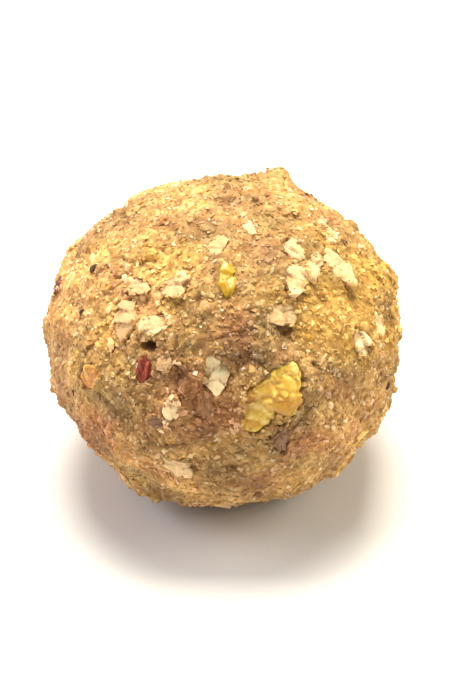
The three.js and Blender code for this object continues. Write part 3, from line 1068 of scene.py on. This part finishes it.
def crumb_relief(form, sizes, ways, radius, bits):
    """How far the dough's surface stands off its form, its gaps from 0 to 1 where shade is painted, and
    each granule's tint.
    """
    seam_shade, seam_least, seam_torn, cleft_shade, pit_shade = 0.28, 0.35, 0.65, 0.6, 0.5
    crumb_edge, crumb_fade, rim_edge, rim_fade = 1.25, 0.9, 1.7, 0.6
    window_fade, window_depth, rim_shade, rim_shade_at, rim_shade_width = 0.16, 0.6, 0.3, 0.97, 0.06
    rng = np.random.default_rng(SEED)
    points = ways * radius[:, None]
    area = 4 * math.pi * np.mean(radius**2)
    torn = ease(0.5 + waves(points, rise=0.9, wave=7.5, shift=40, octaves=2))
    relief, cleft = clump_relief(form, sizes.clump / MM, area, points, torn, rng)
    broken, seam, tint = granule_relief(form, sizes.granule / MM, area, points, torn, rng)
    relief += broken
    # Painted shade in the seams between granules and the clefts between clumps
    gap_shade = np.clip(seam_shade * seam * (seam_least + seam_torn * torn) + cleft_shade * cleft, 0, 1)
    for azimuth, elevation, reach, depth in SHOWN_PITS + spread_pits(rng):
        away = np.linalg.norm(points - facing(azimuth, elevation) * radius[:, None], axis=1) / reach
        hollow = np.exp(-(away**3))
        relief -= depth * hollow
        # Painted shade in each pit, darker the deeper the pit
        gap_shade = np.maximum(gap_shade, min(1, pit_shade + depth / 2) * hollow)
    across, proud, _ = seats_of([bit for bit in bits if bit.kind == "crumb"], ways, points)
    relief += proud * ease((crumb_edge - across) / crumb_fade)
    across, proud, uneven = seats_of([bit for bit in bits if bit.kind != "crumb"], ways, points)
    ragged = across + waves(points, rise=uneven, wave=1.2, shift=5, octaves=3)
    inside = ease((1.0 - ragged) / window_fade)
    relief += proud * ease((rim_edge - across) / rim_fade) * (1 - inside)
    relief += inside * (-window_depth - relief)
    # Painted shade in a ring round the rim of each bit's window
    gap_shade = np.maximum(gap_shade * (1 - inside), rim_shade * bell(ragged - rim_shade_at, rim_shade_width))
    return relief, gap_shade, tint


class LADOO_OT_shape_dough(bpy.types.Operator):
    """Press the ball of dough, with its clumps, granules and pits"""

    bl_idname = "ladoo.shape_dough"
    bl_label = "Shape dough"

    def execute(self, context):
        sizes, colours = context.scene.ladoo_sizes, context.scene.ladoo_colours
        form = Form(sizes)
        ways, faces = cube_ball(DOUGH_CUTS)
        radius = form.dough_radius(ways)
        bits = spread_bits(form) + gum_lobes(form)
        relief, gap_shade, tint = crumb_relief(form, sizes, ways, radius, bits)
        points = form.points(ways, radius + relief)
        under = points[:, 2] < 0
        points[under, 2] = FOOT_RISE * gap_shade[under]
        hue, light = patches_at(ways * radius[:, None])
        # The gap mask carries the painted shade of the seams, clefts, pits and rims
        values = {"gap_shade": gap_shade, "tint": tint, "hue": hue, "light": light}
        dough = new_piece(DOUGH, (points, faces, values), dough_material(colours), form)
        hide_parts(NODE)
        return {"FINISHED"}


def lowness(below, proud):
    """How low points lie on their bit, from 0 at the top to 1 where the dough covers it."""
    return np.clip(below / (proud + COVERED), 0, LOWEST)


def chips_of(form, kind, edge, rough, step, rng):
    """Joined chips for every bit of a kind, with their tone, skin and depth in the dough."""
    meshes = []
    for bit in bits_of(form, kind):
        points, faces = chip_mesh(bit, rng, edge)
        normal = normals_of(points, faces)
        worn = waves(points, rise=rough, wave=0.9, shift=CHIP_SHIFT * bit.number, octaves=3)
        worn += cracked(points, bit.size, step, rng)
        points = points + normal * worn[:, None]
        points[:, 2] -= CHIP_LEAN * points[:, :2] @ bit.axes[:2, 2]
        skin_side = rng.normal(size=3)
        skin_side /= np.linalg.norm(skin_side)
        skinned = rng.random() < SKINNED[bit.shown]
        values = {
            "tone": np.full(len(points), bit.tone * (1 if bit.shown else HIDDEN_TONE)),
            "skin": ease((normal @ skin_side - SKIN_EDGE) / SKIN_FADE) * skinned,
            "low": lowness(bit.size[2] / 2 - points[:, 2], bit.proud),
        }
        meshes.append((bit.pressed(points, form) + form.centre, faces, values))
    return joined(meshes)


def flattened(points, press):
    """Points of a unit ball whose top the palm pressed flatter, a little wider than before."""
    pressed = points * (WIDER, WIDER, 1)
    pressed[:, 2] = np.tanh(press * points[:, 2]) / math.tanh(press)
    return pressed


def fused(points, faces, voxel):
    """One closed skin round overlapping closed meshes, as points and triangles."""
    mesh = bpy.data.meshes.new("lobes")
    mesh.from_pydata(points.tolist(), [], faces.tolist())
    lobes = bpy.data.objects.new("lobes", mesh)
    bpy.context.scene.collection.objects.link(lobes)
    skin = lobes.modifiers.new("skin", "REMESH")
    skin.mode = "VOXEL"
    skin.voxel_size = voxel
    bm = bmesh.new()
    bm.from_object(lobes, bpy.context.evaluated_depsgraph_get())
    bpy.data.objects.remove(lobes)
    bpy.data.meshes.remove(mesh)
    return arrays_of(bm)


def gum_skin(chosen, rng):
    """One skin round the lobes of puffed gum, of every size, that each bit of gum is made of."""
    lobes, main, smaller, apart, press, voxel = 7, 0.85, (0.4, 0.62), 0.34, 2.0, 0.13
    ball, faces = ball_mesh(rounds=3)
    meshes = []
    for bit in chosen:
        shares = np.concatenate([[main], rng.uniform(*smaller, lobes)])
        away = rng.normal(size=(lobes + 1, 3))
        away *= apart / np.linalg.norm(away, axis=1, keepdims=True)
        away[0] = 0
        for share, shift in zip(shares, away):
            local = (0.5 * flattened(share * ball, press) + shift) * bit.size
            meshes.append((bit.placed(local), faces, {}))
    points, faces, _ = joined(meshes)
    return fused(points, faces, voxel)


def gum_mesh(form, chosen, rng):
    """Puffed gum, pressed flush with the dough and billowed, with its tone and depth in the dough."""
    flush, billow, lump_rise, lump_mean, tone_range, tone_mean = 0.6, 0.42, 1.7, 0.55, 0.6, 0.45
    points, faces = gum_skin(chosen, rng)
    reach = np.linalg.norm(points, axis=1)
    ways = points / reach[:, None]
    radius = form.dough_radius(ways)
    proud = KINDS["gum"]["proud"]
    above = reach - radius
    above = np.where(above > 0, flush * proud * np.tanh(above / (flush * proud)), above)
    grain = bent(points, far=0.45, wave=1.1, shifts=(13, 47, 81)) @ GUM_GRAIN
    lumps = np.abs(waves(grain, rise=1, wave=1.25, shift=63))
    lumps += np.abs(waves(grain, rise=0.55, wave=0.62, shift=22))
    pits = waves(points, rise=0.05, wave=0.45, shift=9, octaves=2)
    above += billow * proud * (lump_rise * lumps - lump_mean) + pits
    apart = [np.linalg.norm(points - bit.middle, axis=1) / bit.size[0] for bit in chosen]
    tone = np.array([bit.tone for bit in chosen])[np.stack(apart).argmin(axis=0)]
    values = {
        "tone": tone + tone_range * (lumps - tone_mean),
        "skin": np.zeros(len(points)),
        "low": lowness(proud - above, proud),
    }
    return form.points(ways, radius + above), faces, values


def fruit_shape(ball, bit, rng):
    """A dried fruit bit of uneven outline, its skin drawn into wrinkles along its length."""
    uneven, press, wrinkle, fine_wrinkle, rough, sunk, twist = 0.16, 1.2, 0.5, 0.16, 0.06, 0.26, 0.8
    often, ridges, creases, ripples = 1.7, (1.6, 4.2, 3.0), (3.4, 8.0, 6.0), 4.5
    drift = FRUIT_SHIFT * bit.number + rng.uniform(0, 3)
    warp = noise(ball * often + drift)
    pressed = flattened(ball * (1 + uneven * warp)[:, None], press)
    ridge = np.abs(noise(ball * ridges + twist * warp[:, None] + drift))
    crease = np.abs(noise(ball * creases + warp[:, None] + drift))
    ripple = waves(ball * ripples, rise=rough, wave=1, shift=drift, octaves=3)
    fold = wrinkle * ridge + fine_wrinkle * crease + ripple - sunk
    return pressed + ball * fold[:, None]


def fruit_of(form, chosen, rng):
    """Joined bits of dried fruit, with their skin and depth in the dough."""
    ball, faces = ball_mesh(FRUIT_CUTS)
    most_skin, hidden_skin = 0.7, 0.75
    meshes = []
    for bit in chosen:
        local = fruit_shape(ball, bit, rng) * bit.size / 2
        values = {
            "skin": np.full(len(ball), most_skin - bit.tone if bit.shown else hidden_skin),
            "low": lowness(bit.size[2] / 2 - local[:, 2], bit.proud),
        }
        meshes.append((bit.placed(local) + form.centre, faces, values))
    return joined(meshes)


def bench(context, step):
    """What a step works with: the pressed form, the colours and its own repeatable draws."""
    scene = context.scene
    return Form(scene.ladoo_sizes), scene.ladoo_colours, np.random.default_rng(SEED + step)


class LADOO_OT_press_nuts(bpy.types.Operator):
    """Press chopped nuts into the dough"""

    bl_idname = "ladoo.press_nuts"
    bl_label = "Press nuts"

    def execute(self, context):
        form, colours, rng = bench(context, step=1)
        chips = chips_of(form, "nut", edge=0.26, rough=0.12, step=0.09, rng=rng)
        new_piece("nut_chips", chips, nut_material(colours), form)
        return {"FINISHED"}


class LADOO_OT_press_pistachio(bpy.types.Operator):
    """Press pistachio slivers into the dough"""

    bl_idname = "ladoo.press_pistachio"
    bl_label = "Press pistachio"

    def execute(self, context):
        form, colours, rng = bench(context, step=2)
        chips = chips_of(form, "pistachio", edge=0.26, rough=0.09, step=0.06, rng=rng)
        flesh, skin = colours.pistachio, colours.pistachio_skin
        material = skin_material(
            "pistachio", flesh, skin, colours.dough, gloss=0.5, reach=0.18, Subsurface_Weight=0.1
        )
        new_piece("pistachio_slivers", chips, material, form)
        return {"FINISHED"}


class LADOO_OT_press_gum(bpy.types.Operator):
    """Press puffed gum crystals into the dough"""

    bl_idname = "ladoo.press_gum"
    bl_label = "Press gum"

    def execute(self, context):
        form, colours, rng = bench(context, step=3)
        slivers = chips_of(form, "sliver", edge=0.2, rough=0.06, step=0.03, rng=rng)
        slivers[2]["skin"][:] = LEMON_SHARE
        crystals = gum_mesh(form, bits_of(form, "gum") + gum_lobes(form), rng)
        new_piece(GUM, joined([crystals, slivers]), gum_material(colours), form)
        return {"FINISHED"}


class LADOO_OT_press_fruit(bpy.types.Operator):
    """Press red fruit and raisins into the dough"""

    bl_idname = "ladoo.press_fruit"
    bl_label = "Press fruit"

    def execute(self, context):
        form, colours, rng = bench(context, step=4)
        fruit = bits_of(form, "fruit")
        shade, gloss = 0.6, 0.34
        scatter = {"Subsurface_Weight": 0.12, "Subsurface_Scale": 0.8 * MM}
        for name, is_red, flesh, reach in (
            ("red_fruit", True, colours.red_fruit, 0.0),
            ("raisins", False, colours.raisin, 0.03),
        ):
            lobes = fruit_of(form, [bit for bit in fruit if (bit.tone > RED_TONE) == is_red], rng)
            material = skin_material(name, flesh, flesh * shade, colours.dough, gloss, reach, **scatter)
            new_piece(name, lobes, material, form)
        return {"FINISHED"}


def surface_tree():
    """Everything made so far, for dropping grains on, and the name of the piece that each face is of."""
    points, faces, owners, start = [], [], [], 0
    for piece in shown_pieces():
        mesh = piece.data
        place = np.empty(len(mesh.vertices) * 3, dtype=np.float32)
        mesh.vertices.foreach_get("co", place)
        sides = len(mesh.polygons[0].vertices)
        corner = np.empty(len(mesh.loops), dtype=np.int32)
        mesh.loops.foreach_get("vertex_index", corner)
        points.append(place.reshape(-1, 3) / MM)
        faces.extend((corner.reshape(-1, sides) + start).tolist())
        owners.extend([piece.name] * len(mesh.polygons))
        start += len(mesh.vertices)
    return BVHTree.FromPolygons(np.concatenate(points).tolist(), faces), owners


def round_bits(bits, grain, rng):
    """Ways out of the ball to grains round the rims of bits."""
    ways = []
    for bit in bits:
        turn = rng.uniform(0, 2 * math.pi, grain.rim)
        rim = np.stack([np.cos(turn), np.sin(turn), np.ones(grain.rim)], axis=1) * bit.size / 2
        rim[:, :2] *= rng.uniform(grain.near, grain.far, (grain.rim, 1))
        ways.append(bit.placed(rim))
    return unit(np.concatenate(ways))


def drop(form, tree, owners, from_ways, on_bits, rng):
    """Places where grains lie, with the share kept on bits and none on gum, and the ways out there."""
    far = 2 * form.half.max()
    deepest = far - form.dough_radius(from_ways) + PIT_CLEAR
    places, ways = [], []
    for way, share, deep in zip(from_ways, on_bits, deepest):
        start = form.centre + way * far
        place, normal, face, depth = tree.ray_cast(Vector(start), Vector(-way))
        kept = rng.random() < share
        if place is None or place.z < FOOT_CLEAR or depth > deep:
            continue
        if owners[face] == GUM or (owners[face] != DOUGH and not kept):
            continue
        places.append(place)
        ways.append(normal.lerp(Vector(way), FLUSH).normalized())
    return np.array(places), np.array(ways)


def turned(count, rng):
    """Random turns, one matrix each."""
    w, x, y, z = unit(rng.normal(size=(count, 4))).T
    rows = [
        [1 - 2 * (y * y + z * z), 2 * (x * y - z * w), 2 * (x * z + y * w)],
        [2 * (x * y + z * w), 1 - 2 * (x * x + z * z), 2 * (y * z - x * w)],
        [2 * (x * z - y * w), 2 * (y * z + x * w), 1 - 2 * (x * x + y * y)],
    ]
    return np.moveaxis(np.array(rows), 2, 0)


def block_shape(rng):
    """A grain of semolina or sugar: a small block with every corner moved."""
    sides, moves = (0.6, 1.1), (-0.2, 0.2)
    corners = block_corners()
    faces = [(0, 1, 3), (0, 3, 2), (4, 6, 7), (4, 7, 5), (0, 4, 5), (0, 5, 1)]
    faces += [(2, 3, 7), (2, 7, 6), (0, 2, 6), (0, 6, 4), (1, 5, 7), (1, 7, 3)]
    moved = corners * rng.uniform(*sides, 3) + rng.uniform(*moves, corners.shape)
    return moved, np.array(faces)


def shard_shape(rng):
    """A shard of nut or a flake: the hull of a few points in a flattened ball."""
    corners, half_size = 11, (0.5, 0.36, 0.25)
    return arrays_of(hull_of(unit(rng.normal(size=(corners, 3))) * half_size))


def knocked(ball, reach, rise, often, flat, rng):
    """A ball of this reach, knocked uneven and flattened."""
    anywhere = 90
    knocks = 1 + rise * noise(ball * often + rng.uniform(0, anywhere))
    return reach * ball * knocks[:, None] * flat


def crumb_shape(rng):
    """A crumb of dough, broken flat on many sides."""
    sides, jitter, cuts = 13, 0.6, (0.5, 0.8)
    ball, faces = ball_mesh(rounds=2)
    for way, reach in zip(even_ways(sides, jitter, rng), rng.uniform(*cuts, sides)):
        ball = ball - np.maximum(ball @ way - reach, 0)[:, None] * way
    return knocked(ball, reach=0.56, rise=0.12, often=2.5, flat=(1, 0.85, 0.6), rng=rng), faces


def seed_shape(rng):
    """A smooth oval seed."""
    ball, faces = ball_mesh(rounds=3)
    return knocked(ball, reach=0.5, rise=0.06, often=2, flat=(1, 0.66, 0.6), rng=rng), faces


class Grain(NamedTuple):
    """One kind of loose grain, in millimetres."""

    shape: object  # the function that makes one of its shapes
    slot: str
    least: float  # shortest
    most: float  # longest
    sunk: float  # the share of its length that is sunk
    proud: float  # the most that it stands out
    dark: str = ""  # the colour of its darkest grains, and of its lightest
    light: str = ""
    speckle: float = 0.0  # how far the tone varies over one grain
    finish: dict = {}
    smooth: bool = False
    variety: int = 40  # how many shapes there are
    lean: float = 1.6  # how far lengths lean to the short end
    flat: bool = True  # lies flat, or turned any way
    on_bits: float = 0.1  # the share kept on bits
    rim: int = 0  # how many lie round each bit, of which kinds, and how near and far in half sizes
    round_kinds: tuple = DRY_BITS
    near: float = 0.95
    far: float = 1.2


GRAINS = {
    "sand_grains": Grain(
        block_shape, "dough", 0.3, 0.78, sunk=0.72, proud=0.2, dark="grain_dark", light="grain_light",
        speckle=0.7, flat=False, on_bits=0.03, rim=10,
    ),
    "sugar_grains": Grain(
        block_shape, "dough", 0.25, 0.65, sunk=0.68, proud=0.22, dark="pale_dark", light="pale_light",
        speckle=0.5, finish=GLINT, flat=False, on_bits=0.05, rim=4,
    ),
    "crumbs": Grain(
        crumb_shape, "dough", 0.6, 1.9, sunk=0.7, proud=0.25, dark="grain_dark", light="grain_light",
        speckle=0.9, smooth=True, variety=30, lean=2.0, on_bits=0.05, rim=3, round_kinds=ALL_BITS,
        near=1.1, far=1.35,
    ),
    "nut_shards": Grain(
        shard_shape, "nut", 0.6, 2.0, sunk=0.6, proud=0.22, dark="nut_dark", light="nut_light",
        speckle=0.6, lean=2.0, on_bits=0.2, rim=7, round_kinds=("nut",), near=1.05, far=2.2,
    ),
    "gum_crumbs": Grain(
        shard_shape, "gum", 0.5, 1.5, sunk=0.58, proud=0.22, dark="gum_dark", light="gum_light",
        speckle=0.6, lean=2.0,
    ),
    "bran_flakes": Grain(
        shard_shape, "dough", 0.45, 1.2, sunk=0.5, proud=0.16, dark="bran", light="grain_dark",
        speckle=0.8, variety=30,
    ),
    SEEDS: Grain(seed_shape, "seed", 0.6, 1.1, sunk=0.5, proud=0.5, smooth=True, variety=6, lean=1.0),
}


def lay_grains(centre, places, ways, lengths, grain, rng):
    """Joined grains at these places, sunk by a share of their length: turned any way, or laid flat."""
    shapes = [grain.shape(rng) for _ in range(grain.variety)]
    turns = turned(len(places), rng)
    along = unit(np.cross(ways, turns[:, 0]))
    lying = np.stack([along, np.cross(ways, along), ways], axis=2)
    turns = lying if grain.flat else turns
    heights = lengths * (0.5 - grain.sunk)
    tints = np.clip(rng.normal(*GRAIN_TINTS, len(places)), 0, 1)
    lows = rng.uniform(0, GRAIN_DUST, len(places))
    hues, lights = patches_at(places - centre)
    drawn = {"tint": tints, "low": lows, "hue": hues, "light": lights}
    kinds = rng.integers(len(shapes), size=len(places))
    meshes = []
    for number, (shape, faces) in enumerate(shapes):
        chosen = kinds == number
        local = shape[None] * lengths[chosen, None, None]
        points = np.einsum("nij,nkj->nki", turns[chosen], local)
        tops = np.einsum("nki,ni->nk", points, ways[chosen]).max(axis=1)
        lifts = np.minimum(heights[chosen], grain.proud - tops)
        points += (places[chosen] + ways[chosen] * lifts[:, None])[:, None]
        triangles = faces[None] + len(shape) * np.arange(chosen.sum())[:, None, None]
        values = {key: np.repeat(value[chosen], len(shape)) for key, value in drawn.items()}
        meshes.append((points.reshape(-1, 3), triangles.reshape(-1, 3), values))
    return joined(meshes)


class LADOO_OT_scatter_grains(bpy.types.Operator):
    """Scatter flour, semolina, crumbs, nut shards, bran and dark seeds over the surface"""

    bl_idname = "ladoo.scatter_grains"
    bl_label = "Scatter grains"

    def execute(self, context):
        form, colours, rng = bench(context, step=5)
        bits = spread_bits(form)
        tree, owners = surface_tree()
        front = facing(*SHOWN_SIDE)
        *shown, shown_lengths = np.array(SHOWN_SEEDS).T
        for name, grain in GRAINS.items():
            from_ways = even_ways(getattr(context.scene.ladoo_sizes, name), GRAIN_JITTER, rng)
            shares = np.full(len(from_ways), grain.on_bits)
            if name == SEEDS:
                from_ways = np.concatenate([from_ways[from_ways @ front < SHOWN_EDGE], facing(*shown)])
                shares = np.ones(len(from_ways))
            rims = round_bits([bit for bit in bits if bit.kind in grain.round_kinds], grain, rng)
            from_ways = np.concatenate([from_ways, rims])
            shares = np.concatenate([shares, np.ones(len(rims))])
            places, ways = drop(form, tree, owners, from_ways, shares, rng)
            lengths = grain.least + (grain.most - grain.least) * rng.random(len(places)) ** grain.lean
            if name == SEEDS:
                lengths[-len(shown_lengths) :] = shown_lengths
                material = seed_material(colours)
            else:
                material = grain_material(name.removesuffix("s"), grain, colours)
            laid = lay_grains(form.centre, places, ways, lengths, grain, rng)
            new_piece(name, laid, material, form, grain.smooth)
        return {"FINISHED"}


def aim(thing, azimuth, elevation, distance, target):
    """Puts a lamp or camera into the scene, at a distance from a target and looking at it."""
    bpy.context.scene.collection.objects.link(thing)
    thing.location = Vector(target) + Vector(facing(azimuth, elevation)) * distance
    thing.rotation_euler = (Vector(target) - thing.location).to_track_quat("-Z", "Y").to_euler()


class LADOO_OT_set_stage(bpy.types.Operator):
    """Set the floor, the soft lamps and the camera"""

    bl_idname = "ladoo.set_stage"
    bl_label = "Set stage"

    def execute(self, context):
        scene = context.scene
        middle = Form(scene.ladoo_sizes).centre * MM
        bm = bmesh.new()
        bmesh.ops.create_grid(bm, x_segments=FLOOR_CUTS, y_segments=FLOOR_CUTS, size=FLOOR_HALF)
        mesh = bpy.data.meshes.new("floor")
        bm.to_mesh(mesh)
        bm.free()
        mesh.materials.append(floor_material(scene.ladoo_colours))
        floor = bpy.data.objects.new("floor", mesh)
        scene.collection.objects.link(floor)
        floor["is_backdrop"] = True
        world = bpy.data.worlds.new("studio")
        world.use_nodes = True
        surround = world.node_tree.nodes["Background"].inputs
        surround["Color"].default_value = AIR_COLOUR
        surround["Strength"].default_value = AIR_STRENGTH
        scene.world = world
        for name, (azimuth, elevation, power, colour) in LAMPS.items():
            light = bpy.data.lights.new(name, "AREA")
            light.size = LAMP_SIZE
            light.energy = power
            light.color = colour
            aim(bpy.data.objects.new(name, light), azimuth, elevation, LAMP_DISTANCE, middle)
        scene.view_settings.view_transform = "Standard"
        lens = bpy.data.cameras.new("camera")
        width = scene.ladoo_sizes.width
        lens.lens = lens.sensor_width * BALL_PIXELS * CAMERA_DISTANCE / (IMAGE_HEIGHT * width)
        scene.camera = bpy.data.objects.new("camera", lens)
        aim(scene.camera, *SHOWN_SIDE, CAMERA_DISTANCE, middle)
        return {"FINISHED"}


class LADOO_PT_panel(bpy.types.Panel):
    """The ladoo's sizes, colours and steps"""

    bl_idname = "LADOO_PT_panel"
    bl_label = "Ladoo"
    bl_space_type = "VIEW_3D"
    bl_region_type = "UI"
    bl_category = "Ladoo"

    def draw(self, context):
        for group in (context.scene.ladoo_sizes, context.scene.ladoo_colours):
            for key in group.bl_rna.properties.keys():
                if key not in ("rna_type", "name"):
                    self.layout.prop(group, key)
        for step in STEPS:
            self.layout.operator(step.bl_idname)


STEPS = (
    LADOO_OT_shape_dough,
    LADOO_OT_press_nuts,
    LADOO_OT_press_pistachio,
    LADOO_OT_press_gum,
    LADOO_OT_press_fruit,
    LADOO_OT_scatter_grains,
    LADOO_OT_set_stage,
)
CLASSES = (LadooSizes, LadooColours, *STEPS, LADOO_PT_panel)


def register():
    for cls in CLASSES:
        bpy.utils.register_class(cls)
    bpy.types.Scene.ladoo_sizes = bpy.props.PointerProperty(type=LadooSizes)
    bpy.types.Scene.ladoo_colours = bpy.props.PointerProperty(type=LadooColours)


def unregister():
    del bpy.types.Scene.ladoo_colours
    del bpy.types.Scene.ladoo_sizes
    for cls in reversed(CLASSES):
        bpy.utils.unregister_class(cls)


def main():
    register()
    bpy.ops.ladoo.shape_dough()
    bpy.ops.ladoo.press_nuts()
    bpy.ops.ladoo.press_pistachio()
    bpy.ops.ladoo.press_gum()
    bpy.ops.ladoo.press_fruit()
    bpy.ops.ladoo.scatter_grains()
    bpy.ops.ladoo.set_stage()
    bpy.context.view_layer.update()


if __name__ == "__main__":
    main()
